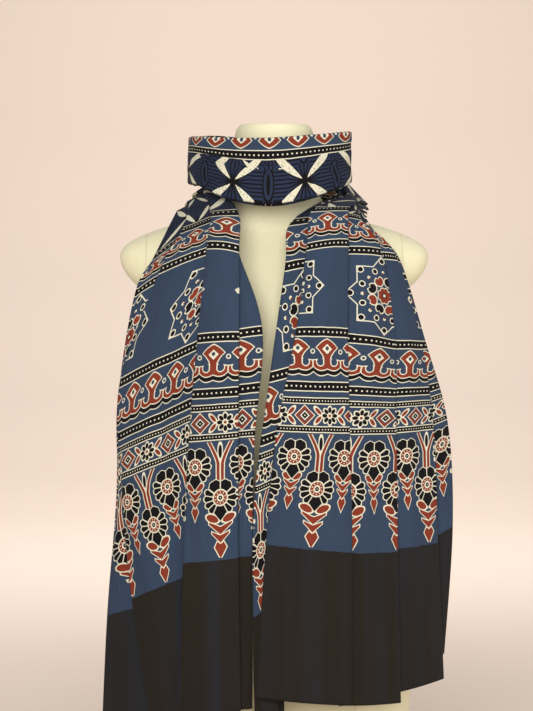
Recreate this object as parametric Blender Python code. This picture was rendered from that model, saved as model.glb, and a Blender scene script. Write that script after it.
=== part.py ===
"""A block-printed stole wound once round the neck of a plain dress form.

Units are metres, +Z is up, and the form's flat base stands on z = 0 with its centre at the origin.
The form faces -Y. The stole starts at the hem of the end that hangs at -X, goes up over that shoulder,
behind the neck, round its front as the collar band, behind the neck again and down to the other hem.
"""

import math

import bpy
import numpy as np

MM = 0.001

# ---------------------------------------------------------------- driving sizes, in mm
CLOTH_WIDTH = 560.0
CLOTH_THICKNESS = 1.3
NECK_PITCH = 2.75           # between the middles of neighbouring layers in the bundle round the neck
FOLD_TIP = 1.4              # half the length of the little flat at the tip of each fold
NECK_HALF_WIDTH = 55.0
NECK_HALF_DEPTH = 58.0
NECK_TOP = 871.0
ROWS_ON_ENDS, ROWS_ON_LOOP = 3, 2   # cross-sections for each gap between two stations

# The dress form: one row for each level, from the base up.
FORM_COLUMNS = ("z", "half_width", "front", "back", "centre_y", "squareness")
FORM_LEVELS = (
    (0, 172, 104, 112, 14, 2.3),
    (60, 182, 106, 118, 14, 2.3),
    (150, 186, 104, 120, 14, 2.3),
    (250, 168, 98, 104, 12, 2.3),
    (340, 140, 92, 88, 8, 2.2),
    (400, 128, 90, 82, 6, 2.2),
    (460, 132, 96, 84, 6, 2.2),
    (520, 146, 106, 92, 8, 2.2),
    (570, 156, 112, 98, 10, 2.2),
    (610, 160, 108, 102, 12, 2.2),
    (640, 170, 100, 104, 14, 2.2),
    (658, 190, 94, 102, 16, 2.2),
    (676, 204, 89, 98, 18, 2.15),
    (694, 209, 84, 92, 20, 2.1),
    (708, 203, 79, 84, 22, 2.05),
    (721, 182, 74, 76, 23, 2.0),
    (733, 150, 70, 70, 23, 2.0),
    (744, 112, 66, 66, 22, 2.0),
    (756, 82, 62, 63, 20, 2.0),
    (772, 64, 59, 60, 17, 2.0),
    (800, 56, 57, 59, 12, 2.0),
    (840, 54, 57, 58, 6, 2.0),
    (862, 52, 55, 57, 3, 2.0),
    (871, 46, 50, 52, 2, 2.0),
)
FORM_SIDES = 40

# Print rows at which the hanging ends are laid out: distance from the hem along the cloth, how far the
# innermost layer stands in front of the origin on the middle line, how fast it falls back sideways, how
# far each layer lies in front of the next and above it, and how much the cloth runs back for each mm that
# a point is higher than the level's own height.
LEVEL_COLUMNS = ("name", "from_hem", "forward", "fall_back", "pitch", "lift", "height", "run_back")
LEVELS = (
    ("hem", 0.0, 128.0, 0.0012, 4.0, 0.0, 100, 0.0),
    ("skirt", 200.0, 130.0, 0.0014, 4.0, 0.0, 300, 0.0),
    ("waist", 340.0, 131.0, 0.0017, 4.0, 0.0, 450, 0.0),
    ("chest", 475.0, 126.0, 0.0021, 4.0, 0.2, 590, 0.12),
    ("yoke", 592.0, 94.0, 0.0017, 4.0, 1.0, 705, 0.40),
    ("collar", 660.0, 61.0, 0.0010, 3.5, 2.4, 757, 0.30),
)
FURTHEST_BACK_FOLD = (90.0, 90.0, 90.0, 90.0, 84.0, 46.0)
# One row for each fold line, inner edge first: x at the six levels, then z at the six levels.
FOLD_COLUMNS = ("fold", "x_hem", "x_skirt", "x_waist", "x_chest", "x_yoke", "x_collar",
                "z_hem", "z_skirt", "z_waist", "z_chest", "z_yoke", "z_collar")
LEFT_FOLDS = (
    ("inner selvedge", -86, -86, -80, -72, -66, -62, 103, 302, 450, 590, 702, 752),
    ("inner pleat edge", -29, -29, -26, -16, -48, -50, 106, 306, 454, 600, 706, 752),
    ("inner pleat root", -62, -60, -58, -58, -66, -62, 104, 304, 452, 594, 704, 751),
    ("front panel inner edge", -44, -47, -47, -46, -46, -47, 104, 304, 452, 592, 705, 752),
    ("front panel outer edge", -123, -119, -112, -100, -88, -84, 96, 296, 446, 589, 709, 750),
    ("front panel root", -105, -104, -100, -88, -76, -72, 82, 282, 436, 585, 706, 752),
    ("side panel outer edge", -156, -188, -202, -205, -150, -122, 44, 244, 392, 528, 680, 735),
    ("shoulder panel inner edge", -145, -176, -196, -199, -140, -112, 34, 233, 384, 524, 676, 737),
    ("shoulder panel outer edge", -231, -222, -210, -206, -184, -160, 21, 218, 370, 519, 651, 704),
)
RIGHT_FOLDS = (
    ("inner selvedge", 12, 14, 16, 20, 26, 32, 22, 222, 376, 536, 682, 745),
    ("inner pleat edge", -24, -28, -26, -6, 14, 21, 26, 226, 380, 540, 684, 745),
    ("inner pleat root", 4, 8, 18, 42, 54, 62, 50, 250, 400, 552, 690, 750),
    ("front panel inner edge", -24, -11, 2, 28, 42, 50, 122, 322, 462, 598, 707, 757),
    ("front panel outer edge", 100, 101, 98, 95, 97, 98, 110, 310, 458, 596, 712, 758),
    ("front panel root", 84, 83, 80, 87, 89, 90, 109, 309, 456, 590, 704, 756),
    ("second panel outer edge", 166, 162, 160, 159, 142, 114, 108, 307, 455, 580, 702, 751),
    ("second panel root", 156, 153, 148, 141, 124, 106, 120, 310, 455, 580, 700, 751),
    ("third panel outer edge", 225, 217, 212, 196, 162, 131, 134, 315, 458, 578, 698, 741),
    ("third panel root", 218, 211, 205, 190, 156, 125, 150, 322, 462, 578, 698, 739),
    ("outer strip edge", 226, 238, 232, 203, 166, 136, 166, 334, 470, 578, 698, 734),
)
# Depth of each layer, in layer pitches in front of the innermost one, inner edge first.
LEFT_LAYERS = (3.6, 4.8, 6.0, 7.3, 6.1, 5.1, 4.1, 3.1, 2.1, 1.0, 0.0)
RIGHT_LAYERS = (3.6, 4.8, 6.0, 7.3, 6.1, 5.1, 4.1, 3.1, 2.1, 1.0, 0.0)
NECK_LAYERS = (4.7, 5.4, 6.1, 7.3, 6.0, 5.0, 4.0, 3.0, 2.0, 1.0, 0.0)
# Fold lines across the neck bundle, in mm below its top rim, inner edge first.
NECK_FOLDS = (10, 3, 13, 0, 78, 21, 80, 14, 77, 13, 75, 26)
NECK_MIDDLE = 40.0
# Where the bundle leaves the neck, its fold lines still stand side by side, as on each hanging end.
LEFT_FAN = (11, 2, 11, 0, 26, 18, 53, 46, 80, 36, 76, 38)
RIGHT_FAN = (9, 0, 32, 23, 60, 54, 71, 65, 76, 72, 80, 34)

# The way round the neck, one row for each station: degrees from the front towards -X, distance of the
# bundle's inner face from the neck's axis, height of its middle, lean of its width (0 upright, top rim up;
# 90 lying flat, top rim towards the neck), its share of full width and thickness, and the share of the
# hanging end's own fold order in it.
LOOP_COLUMNS = ("turn", "radius", "z", "lean", "width", "thickness", "fan")
LOOP = (
    (76, 102, 761, 62, 0.92, 0.85, 1.0),
    (100, 98, 765, 54, 0.92, 0.95, 0.6),
    (125, 87, 772, 39, 0.94, 1.1, 0.2),
    (152, 76, 788, 19, 0.96, 1.15, 0.0),
    (180, 71, 808, 6, 0.98, 1.0, 0.0),
    (215, 68, 820, 2, 0.94, 1.0, 0.0),
    (250, 66, 826, 0, 0.90, 1.0, 0.0),
    (285, 87, 826, 0, 0.88, 1.0, 0.0),
    (322, 80, 813, 6, 1.02, 1.05, 0.0),
    (360, 73, 803, 9, 1.13, 1.1, 0.0),
    (398, 79, 808, 7, 1.02, 1.05, 0.0),
    (432, 91, 821, 3, 0.82, 1.0, 0.0),
    (465, 99, 823, 0, 0.82, 1.0, 0.0),
    (500, 105, 826, 2, 0.86, 1.0, 0.0),
    (540, 102, 814, 6, 0.94, 1.1, 0.0),
    (570, 106, 797, 18, 0.94, 1.2, 0.0),
    (596, 112, 775, 42, 0.80, 1.1, 0.2),
    (620, 105, 759, 61, 0.68, 0.9, 0.6),
    (644, 101, 757, 66, 0.62, 0.8, 1.0),
)
FOLDS = 12
LAYERS = FOLDS - 1


# ---------------------------------------------------------------- helpers

def clear_scene():
    for obj in list(bpy.data.objects):
        bpy.data.objects.remove(obj, do_unlink=True)


def material(name, colour, roughness, metallic=0.0):
    made = bpy.data.materials.new(name)
    made.use_nodes = True
    shader = made.node_tree.nodes["Principled BSDF"]
    shader.inputs["Base Color"].default_value = (*colour, 1.0)
    shader.inputs["Roughness"].default_value = roughness
    shader.inputs["Metallic"].default_value = metallic
    return made


def mesh_object(name, points_mm, faces, finish):
    mesh = bpy.data.meshes.new(name)
    mesh.from_pydata([tuple(p) for p in np.asarray(points_mm) * MM], [], faces)
    mesh.validate()
    obj = bpy.data.objects.new(name, mesh)
    bpy.context.scene.collection.objects.link(obj)
    mesh.materials.append(finish)
    mesh.shade_smooth()
    return obj


def through(values, at):
    """A smooth curve through values at 0, 1, 2 and so on (Catmull-Rom), read at the numbers in at."""
    values = np.asarray(values, float)
    last = len(values) - 1
    start = np.clip(np.floor(at).astype(int), 0, last - 1)
    share = (np.asarray(at) - start).reshape((-1,) + (1,) * (values.ndim - 1))
    before, here = values[np.maximum(start - 1, 0)], values[start]
    there, after = values[start + 1], values[np.minimum(start + 2, last)]
    return 0.5 * (2 * here + (there - before) * share
                  + (2 * before - 5 * here + 4 * there - after) * share ** 2
                  + (3 * here - before - 3 * there + after) * share ** 3)


def unit(vectors):
    return vectors / np.maximum(np.linalg.norm(vectors, axis=-1, keepdims=True), 1e-9)


def bisector(grid):
    """The direction across the cloth at each point, halfway between its two neighbours' directions, and
    how much further the faces stand off there so that the cloth keeps its thickness round a fold."""
    steps = unit(np.diff(grid, axis=1))
    before = np.concatenate([steps[:, :1], steps], 1)
    after = np.concatenate([steps, steps[:, -1:]], 1)
    total = before + after
    share = np.linalg.norm(total, axis=-1, keepdims=True) / 2
    return total / np.maximum(2 * share, 1e-9), 1 / np.clip(share, 0.66, 1)


# ---------------------------------------------------------------- the dress form

def form_rings():
    """The form's level outlines, each a superellipse whose front and back halves have their own depth."""
    levels = np.array(FORM_LEVELS, float)
    turn = np.linspace(0, 2 * math.pi, FORM_SIDES, endpoint=False)
    rings = []
    for z, half_width, front, back, centre_y, squareness in levels:
        across = np.sign(np.sin(turn)) * np.abs(np.sin(turn)) ** (2 / squareness)
        along = np.sign(np.cos(turn)) * np.abs(np.cos(turn)) ** (2 / squareness)
        depth = np.where(along > 0, front, back)
        rings.append(np.stack([half_width * across, centre_y - depth * along, np.full_like(turn, z)], 1))
    return np.array(rings)


def dress_form(finish):
    rings = form_rings()
    count, sides, _ = rings.shape
    points = rings.reshape(-1, 3)
    faces = [tuple(reversed(range(sides)))]
    for level in range(count - 1):
        for side in range(sides):
            following = (side + 1) % sides
            faces.append((level * sides + side, level * sides + following,
                          (level + 1) * sides + following, (level + 1) * sides + side))
    faces.append(tuple((count - 1) * sides + side for side in range(sides)))
    return mesh_object("dress_form", points, faces, finish)


# ---------------------------------------------------------------- the stole

def layer_ends(across, layer_depth):
    """Two points for each layer, pulled in from its fold lines by the fold tip: (distance across, depth)."""
    run = np.diff(across)
    way = run / (np.abs(run) + 0.5)
    tip = np.minimum(FOLD_TIP, np.abs(run) * 0.3)
    starts = np.stack([across[:-1] + way * tip, layer_depth], 1)
    ends = np.stack([across[1:] - way * tip, layer_depth], 1)
    starts[0, 0], ends[-1, 0] = across[0], across[-1]
    return np.stack([starts, ends], 1).reshape(-1, 2)


def hanging_section(folds, layers, level, side):
    """One cross-section of a hanging end, as world points: the fold lines that show come from the table,
    and what is left of the cloth's width is folded to and fro behind the outermost one."""
    _, _, forward, fall_back, pitch, lift, height, run_back = LEVELS[level]
    across = np.array([row[1 + level] for row in folds], float)
    heights = np.array([row[1 + len(LEVELS) + level] for row in folds], float)
    used = np.abs(np.diff(across)).sum() + np.abs(np.diff(layers)).sum() * pitch
    spare = FOLDS - len(folds)
    reach = np.clip((CLOTH_WIDTH - used) / spare, 12.0, FURTHEST_BACK_FOLD[level])
    for turn in range(spare):
        inward = -side if turn % 2 == 0 else side
        across = np.append(across, across[-1] + inward * reach * (1 - 0.06 * turn))
        heights = np.append(heights, heights[-1] + 1.0)
    flat = layer_ends(across, layers)
    z = np.repeat(heights, 2)[1:-1]
    y = (z - height) * run_back - (forward - fall_back * flat[:, 0] ** 2) - flat[:, 1] * pitch
    return np.stack([flat[:, 0], y, z - (max(layers) - flat[:, 1]) * lift], 1)


def neck_axis_y(z):
    """How far back the neck's axis is at height z, as the form's own levels give it."""
    levels = np.array(FORM_LEVELS, float)
    return np.interp(z, levels[:, 0], levels[:, 4])


def loop_section(turn, radius, z, lean, width, thickness, fan):
    """One cross-section of the bundle round the neck, as world points."""
    angle, tilt = math.radians(turn), math.radians(lean)
    outward = np.array([-math.sin(angle), -math.cos(angle), 0.0])
    up = np.array([0.0, 0.0, 1.0])
    down_width = -math.cos(tilt) * up + math.sin(tilt) * outward
    normal = math.cos(tilt) * outward + math.sin(tilt) * up
    centre = outward * radius + up * z + np.array([0.0, float(neck_axis_y(z)), 0.0])
    end_folds, end_layers = (LEFT_FAN, LEFT_LAYERS) if turn < 360 else (RIGHT_FAN, RIGHT_LAYERS)
    folds = np.array(end_folds) * fan + np.array(NECK_FOLDS) * (1 - fan)
    layers = np.array(end_layers) * fan + np.array(NECK_LAYERS) * (1 - fan)
    flat = layer_ends((folds - NECK_MIDDLE) * width, layers)
    return centre + flat[:, :1] * down_width + flat[:, 1:] * NECK_PITCH * thickness * normal


def stole_stations():
    """Every station's cross-section in order from one hem to the other, and each one's layer ends."""
    left = [hanging_section(LEFT_FOLDS, np.array(LEFT_LAYERS), level, -1)
            for level in range(len(LEVELS))]
    loop = [loop_section(*row) for row in LOOP]
    right = [hanging_section(RIGHT_FOLDS, np.array(RIGHT_LAYERS), level, 1)
             for level in range(len(LEVELS))]
    return np.array(left + loop + right[::-1])


def with_middles(sections):
    """Adds a point in the middle of each layer, so that it can follow the body's curve."""
    starts, ends = sections[:, 0::2], sections[:, 1::2]
    middles = (starts + ends) / 2
    out = np.stack([starts, middles, ends], 2)
    return out.reshape(len(sections), -1, 3)


def stole(finish):
    stations = stole_stations()
    gaps, end_gaps = len(stations) - 1, len(LEVELS) - 1
    rows = [ROWS_ON_ENDS if min(gap, gaps - 1 - gap) < end_gaps else ROWS_ON_LOOP for gap in range(gaps)]
    at = np.concatenate([np.linspace(gap, gap + 1, count, endpoint=False)
                         for gap, count in enumerate(rows)] + [[gaps]])
    grid = with_middles(through(stations, at))
    along = unit(np.gradient(grid, axis=0))
    across, spread = bisector(grid)
    normal = unit(np.cross(along, across))
    half = CLOTH_THICKNESS / 2 * spread
    outer, inner = grid + normal * half, grid - normal * half
    rows, columns, _ = grid.shape
    points = np.concatenate([outer.reshape(-1, 3), inner.reshape(-1, 3)])
    index = np.arange(rows * columns).reshape(rows, columns)
    other = index + rows * columns
    faces = []
    for r in range(rows - 1):
        for c in range(columns - 1):
            faces.append((index[r, c], index[r + 1, c], index[r + 1, c + 1], index[r, c + 1]))
            faces.append((other[r, c], other[r, c + 1], other[r + 1, c + 1], other[r + 1, c]))
    for r in range(rows - 1):
        for c, flip in ((0, True), (columns - 1, False)):
            quad = (index[r, c], index[r + 1, c], other[r + 1, c], other[r, c])
            faces.append(quad[::-1] if flip else quad)
    for c in range(columns - 1):
        for r, flip in ((0, False), (rows - 1, True)):
            quad = (index[r, c], index[r, c + 1], other[r, c + 1], other[r, c])
            faces.append(quad[::-1] if flip else quad)
    obj = mesh_object("stole", points, [tuple(int(i) for i in f) for f in faces], finish)
    return obj


def main():
    clear_scene()
    linen = material("form_cover", (0.80, 0.74, 0.58), 0.7)
    cotton = material("printed_cotton", (0.05, 0.09, 0.17), 0.85)
    dress_form(linen)
    stole(cotton)


main()
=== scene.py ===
# %% [markdown]
# # A block-printed stole on a dress form
# The real thing is a long strip of indigo cotton, printed by hand with carved wooden blocks. It is wound
# once round the neck of a shop's dress form, and both ends hang in front in loose pleats.
# This lesson first loads the solid frame, then draws the cloth as one thin sheet whose folds come from
# short tables, and last writes the print as maths on the sheet's own flat coordinates.

# %% Tools and the solid frame
import math

import bpy
import mathutils
import numpy as np
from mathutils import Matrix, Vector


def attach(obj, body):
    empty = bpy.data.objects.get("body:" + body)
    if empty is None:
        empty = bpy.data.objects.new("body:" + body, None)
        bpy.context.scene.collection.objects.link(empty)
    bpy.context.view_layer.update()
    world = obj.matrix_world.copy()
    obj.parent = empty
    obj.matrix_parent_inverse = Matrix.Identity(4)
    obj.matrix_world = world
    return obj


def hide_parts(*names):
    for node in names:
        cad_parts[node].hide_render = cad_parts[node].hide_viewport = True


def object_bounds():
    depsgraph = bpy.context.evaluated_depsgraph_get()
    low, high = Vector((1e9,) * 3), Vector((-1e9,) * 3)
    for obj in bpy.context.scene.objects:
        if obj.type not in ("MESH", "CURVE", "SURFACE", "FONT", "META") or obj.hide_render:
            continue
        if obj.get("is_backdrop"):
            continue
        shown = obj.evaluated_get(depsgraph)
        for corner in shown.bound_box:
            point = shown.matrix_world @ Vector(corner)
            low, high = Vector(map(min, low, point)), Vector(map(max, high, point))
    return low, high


MM = 0.001
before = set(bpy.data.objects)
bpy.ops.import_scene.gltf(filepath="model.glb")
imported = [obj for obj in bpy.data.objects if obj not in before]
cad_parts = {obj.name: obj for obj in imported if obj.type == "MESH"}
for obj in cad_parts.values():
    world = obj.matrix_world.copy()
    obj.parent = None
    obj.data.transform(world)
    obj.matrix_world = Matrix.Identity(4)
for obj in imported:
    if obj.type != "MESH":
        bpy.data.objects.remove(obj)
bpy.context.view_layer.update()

# %% [markdown]
# ## The folds, as tables
# A pleated cloth is easiest to describe by its fold lines. Each row below is one fold line of a hanging
# end, with its place at six print rows from the hem up. The third table gives the same lines in the
# cloth's own flat width, so the print lands on the right pleat.

# %% Sizes of the cloth and of its layers, in mm
CLOTH_WIDTH = 560.0
CLOTH_THICKNESS = 0.7
NECK_PITCH = 2.75
FOLD_RADIUS = 1.9
FOLDS = 12
LAYERS = FOLDS - 1

# Columns: from hem, forward, fall back, pitch, lift, height, run back.
LEVELS = np.array((
    (0.0, 128.0, 0.0012, 4.0, 0.0, 100, 0.0),
    (200.0, 130.0, 0.0014, 4.0, 0.0, 300, 0.0),
    (340.0, 131.0, 0.0017, 4.0, 0.0, 450, 0.0),
    (475.0, 126.0, 0.0021, 4.0, 0.2, 590, 0.12),
    (592.0, 94.0, 0.0017, 4.0, 1.0, 705, 0.40),
    (660.0, 61.0, 0.0010, 3.5, 2.4, 757, 0.30),
))

# %% Fold lines of the two hanging ends: x, then height, at the six levels
LEFT_FOLDS = np.array((
    (-86, -86, -80, -72, -66, -62, 103, 302, 450, 590, 702, 752),
    (-29, -29, -26, -16, -48, -50, 106, 306, 454, 600, 706, 752),
    (-62, -60, -58, -58, -66, -62, 104, 304, 452, 594, 704, 751),
    (-44, -47, -47, -46, -46, -47, 104, 304, 452, 592, 705, 752),
    (-123, -119, -112, -100, -88, -84, 96, 296, 446, 589, 709, 750),
    (-105, -104, -100, -88, -76, -72, 82, 282, 436, 585, 706, 752),
    (-156, -188, -202, -205, -150, -122, 44, 244, 392, 528, 680, 735),
    (-145, -176, -196, -199, -140, -112, 34, 233, 384, 524, 676, 737),
    (-231, -222, -210, -206, -184, -160, 21, 218, 370, 519, 651, 704),
), float)
RIGHT_FOLDS = np.array((
    (12, 14, 16, 20, 26, 32, 22, 222, 376, 536, 682, 745),
    (-24, -28, -26, -6, 14, 21, 26, 226, 380, 540, 684, 745),
    (4, 8, 18, 42, 54, 62, 50, 250, 400, 552, 690, 750),
    (-24, -11, 2, 28, 42, 50, 122, 322, 462, 598, 707, 757),
    (100, 101, 98, 95, 97, 98, 110, 310, 458, 596, 712, 758),
    (84, 83, 80, 87, 89, 90, 109, 309, 456, 590, 704, 756),
    (166, 162, 160, 159, 142, 114, 108, 307, 455, 580, 702, 751),
    (156, 153, 148, 141, 124, 106, 120, 310, 455, 580, 700, 751),
    (225, 217, 212, 196, 162, 131, 134, 315, 458, 578, 698, 741),
    (218, 211, 205, 190, 156, 125, 150, 322, 462, 578, 698, 739),
    (226, 238, 232, 203, 166, 136, 166, 334, 470, 578, 698, 734),
), float)
FURTHEST_BACK_FOLD = (90.0, 90.0, 90.0, 90.0, 84.0, 46.0)
END_LAYERS = np.array((3.6, 4.8, 6.0, 7.3, 6.1, 5.1, 4.1, 3.1, 2.1, 1.0, 0.0))

# %% The same fold lines in the cloth's flat width, from one selvedge to the other
LEFT_FLAT = np.array((
    (0, 0, 0, 0, 0, 0),
    (84, 83, 82, 76, 72, 66),
    (118, 116, 114, 110, 106, 100),
    (190, 189, 188, 190, 206, 204),
    (262, 262, 255, 243, 240, 236),
    (299, 299, 263, 252, 306, 290),
    (422, 422, 392, 412, 380, 372),
    (430, 430, 402, 418, 392, 384),
    (456, 456, 430, 432, 440, 440),
    (490, 490, 480, 480, 480, 480),
    (525, 525, 520, 520, 520, 520),
    (560, 560, 560, 560, 560, 560),
), float)
RIGHT_FLAT = np.array((
    (0, 0, 0, 0, 0, 0),
    (40, 50, 62, 108, 140, 150),
    (110, 118, 124, 160, 180, 182),
    (152, 156, 150, 180, 190, 192),
    (262, 262, 251, 250, 250, 250),
    (264, 264, 267, 254, 254, 256),
    (350, 350, 345, 320, 306, 300),
    (361, 361, 358, 338, 326, 318),
    (434, 434, 432, 404, 392, 380),
    (440, 440, 438, 412, 400, 388),
    (469, 469, 462, 424, 412, 400),
    (560, 560, 560, 560, 560, 560),
), float)

# %% The bundle round the neck
NECK_LAYERS = np.array((4.7, 5.4, 6.1, 7.3, 6.0, 5.0, 4.0, 3.0, 2.0, 1.0, 0.0))
NECK_FOLDS = np.array((10, 3, 13, 0, 78, 21, 80, 14, 77, 13, 75, 26), float)
NECK_FLAT = np.array((0, 6, 20, 40, 125, 187, 250, 321, 389, 458, 525, 560), float)
NECK_MIDDLE = 40.0
LEFT_FAN = np.array((11, 2, 11, 0, 26, 18, 53, 46, 80, 36, 76, 38), float)
RIGHT_FAN = np.array((9, 0, 32, 23, 60, 54, 71, 65, 76, 72, 80, 34), float)
# Columns: turn, radius, z, lean, width, thickness, fan.
LOOP = np.array((
    (76, 102, 761, 62, 0.92, 0.85, 1.0),
    (100, 98, 765, 54, 0.92, 0.95, 0.6),
    (125, 87, 772, 39, 0.94, 1.1, 0.2),
    (152, 76, 788, 19, 0.96, 1.15, 0.0),
    (180, 71, 808, 6, 0.98, 1.0, 0.0),
    (215, 68, 820, 2, 0.94, 1.0, 0.0),
    (250, 66, 826, 0, 0.90, 1.0, 0.0),
    (285, 87, 826, 0, 0.88, 1.0, 0.0),
    (322, 80, 813, 6, 1.02, 1.05, 0.0),
    (360, 73, 803, 9, 1.13, 1.1, 0.0),
    (398, 79, 808, 7, 1.02, 1.05, 0.0),
    (432, 91, 821, 3, 0.82, 1.0, 0.0),
    (465, 99, 823, 0, 0.82, 1.0, 0.0),
    (500, 105, 826, 2, 0.86, 1.0, 0.0),
    (540, 102, 814, 6, 0.94, 1.1, 0.0),
    (570, 106, 797, 18, 0.94, 1.2, 0.0),
    (596, 112, 775, 42, 0.80, 1.1, 0.2),
    (620, 105, 759, 61, 0.68, 0.9, 0.6),
    (644, 101, 757, 66, 0.62, 0.8, 1.0),
))
NECK_AXIS = np.array(((744, 22), (756, 20), (772, 17), (800, 12), (840, 6), (862, 3), (871, 2)), float)

# %% [markdown]
# ## From fold lines to a grid
# Every column of the grid stays on one layer or on one fold, and every row is one cut across the cloth.
# So the sheet is a function of two numbers: which column, and how far along the cloth.

# %% Columns: how many for each layer, and for the round of each fold
COLUMNS_IN_LAYER = (5, 12, 5, 24, 5, 22, 5, 20, 5, 12, 12)
FOLD_ANGLES = np.radians((-60, 0, 60))


def column_plan():
    """Layer number, share of the way across it, and fold angle (or nan on a flat) of every column."""
    layer, share, angle = [], [], []
    for number, count in enumerate(COLUMNS_IN_LAYER):
        layer.append(np.full(count, number))
        share.append(np.linspace(0, 1, count))
        angle.append(np.full(count, np.nan))
        if number < LAYERS - 1:
            layer.append(np.full(FOLD_ANGLES.size, number))
            share.append(np.ones(FOLD_ANGLES.size))
            angle.append(FOLD_ANGLES)
    return np.concatenate(layer), np.concatenate(share), np.concatenate(angle)


LAYER, SHARE, ANGLE = column_plan()
ON_FOLD = ~np.isnan(ANGLE)
print("columns across the cloth:", LAYER.size)

# %% One cut across the cloth


def lay_across(folds, depths):
    """Place across and depth of every column. A flat runs straight between two fold lines, and a fold is
    a half circle: its place is the fold line less a radius times one minus cos, its depth the mean of the
    two layers plus half their difference times sin."""
    start, end = folds[LAYER], folds[LAYER + 1]
    way = (end - start) / (np.abs(end - start) + 0.5)
    radius = np.minimum(FOLD_RADIUS, np.abs(end - start) * 0.3)
    lead = np.where(LAYER == 0, 0.0, radius * way)
    tail = np.where(LAYER == LAYERS - 1, 0.0, radius * way)
    flat = (start + lead) * (1 - SHARE) + (end - tail) * SHARE
    following = np.minimum(LAYER + 1, LAYERS - 1)
    turn = np.where(ON_FOLD, ANGLE, 0.0)
    place = np.where(ON_FOLD, end - radius * way * (1 - np.cos(turn)), flat)
    middle, half = (depths[LAYER] + depths[following]) / 2, (depths[following] - depths[LAYER]) / 2
    return place, np.where(ON_FOLD, middle + half * np.sin(turn), depths[LAYER])


def along_flat(values):
    """The value of every column when each fold line has its own."""
    values = np.asarray(values, float)
    return values[LAYER] * (1 - SHARE) + values[LAYER + 1] * SHARE


def hanging_cut(folds, level, side):
    """A hanging end at one level: y is minus how far forward the level stands, plus a square fall-back
    with x, less the layers in front, plus the run back of higher points."""
    _, forward, fall_back, pitch, lift, height, run_back = LEVELS[level]
    across, heights = folds[:, level], folds[:, level + len(LEVELS)]
    used = np.abs(np.diff(across)).sum() + np.abs(np.diff(END_LAYERS)).sum() * pitch
    spare = FOLDS - len(folds)
    reach = np.clip((CLOTH_WIDTH - used) / spare, 12.0, FURTHEST_BACK_FOLD[level])
    for turn in range(spare):
        inward = -side if turn % 2 == 0 else side
        across = np.append(across, across[-1] + inward * reach * (1 - 0.06 * turn))
        heights = np.append(heights, heights[-1] + 1.0)
    x, depth = lay_across(across, END_LAYERS)
    z = along_flat(heights)
    y = (z - height) * run_back - (forward - fall_back * x ** 2) - depth * pitch
    return np.stack([x, y, z - (END_LAYERS.max() - depth) * lift], 1)


def neck_cut(turn, radius, z, lean, width, thickness, fan):
    """The bundle at one turn round the neck: a point on a circle, plus the place across along the leaning
    width, plus the depth along its normal."""
    angle, tilt = math.radians(turn), math.radians(lean)
    outward, up = np.array([-math.sin(angle), -math.cos(angle), 0.0]), np.array([0.0, 0.0, 1.0])
    down_width = -math.cos(tilt) * up + math.sin(tilt) * outward
    normal = math.cos(tilt) * outward + math.sin(tilt) * up
    axis_y = np.interp(z, NECK_AXIS[:, 0], NECK_AXIS[:, 1])
    centre = outward * radius + up * z + np.array([0.0, axis_y, 0.0])
    folds = NECK_FOLDS * (1 - fan) + (LEFT_FAN if turn < 360 else RIGHT_FAN) * fan
    layers = NECK_LAYERS * (1 - fan) + END_LAYERS * fan
    place, depth = lay_across((folds - NECK_MIDDLE) * width, layers)
    return centre + place[:, None] * down_width + (depth * NECK_PITCH * thickness)[:, None] * normal


left = [hanging_cut(LEFT_FOLDS, level, -1) for level in range(len(LEVELS))]
right = [hanging_cut(RIGHT_FOLDS, level, 1) for level in range(len(LEVELS))]
STATIONS = np.array(left + [neck_cut(*row) for row in LOOP] + right[::-1])
print("cuts from hem to hem:", len(STATIONS))

# %% Flat width at every station: the ends' own tables, blended to the neck's over the shoulders
BAND_FROM, BAND_TO = 13, 17


def smooth(share):
    share = np.clip(share, 0, 1)
    return share * share * (3 - 2 * share)


def flat_widths():
    first, last = len(LEVELS) - 1, len(STATIONS) - len(LEVELS)
    rows = []
    for station in range(len(STATIONS)):
        if station <= first:
            rows.append(LEFT_FLAT[:, station])
        elif station >= last:
            rows.append(RIGHT_FLAT[:, len(STATIONS) - 1 - station])
        else:
            rise = smooth((station - first) / (BAND_FROM - first))
            fall = smooth((last - station) / (last - BAND_TO))
            end = LEFT_FLAT[:, -1] if station < BAND_TO else RIGHT_FLAT[:, -1]
            share = min(rise, fall)
            rows.append(end * (1 - share) + NECK_FLAT * share)
    return np.array([along_flat(row) for row in rows])


FLAT_ACROSS = flat_widths()

# %% Rows: a smooth curve through the stations
ROWS_IN_GAP = (22, 15, 15, 13, 9) + (5,) * 20 + (9, 13, 15, 15, 22)


def through(values, at):
    """A smooth curve through values at 0, 1, 2 and so on (Catmull-Rom), read at the numbers in at."""
    last = len(values) - 1
    start = np.clip(np.floor(at).astype(int), 0, last - 1)
    share = (at - start).reshape((-1,) + (1,) * (values.ndim - 1))
    before, here = values[np.maximum(start - 1, 0)], values[start]
    there, after = values[start + 1], values[np.minimum(start + 2, last)]
    return 0.5 * (2 * here + (there - before) * share
                  + (2 * before - 5 * here + 4 * there - after) * share ** 2
                  + (3 * here - before - 3 * there + after) * share ** 3)


row_at = np.concatenate([np.linspace(gap, gap + 1, count, endpoint=False)
                         for gap, count in enumerate(ROWS_IN_GAP)] + [[len(ROWS_IN_GAP)]])
sheet_points = through(STATIONS, row_at)
sheet_across = through(FLAT_ACROSS, row_at)

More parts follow.
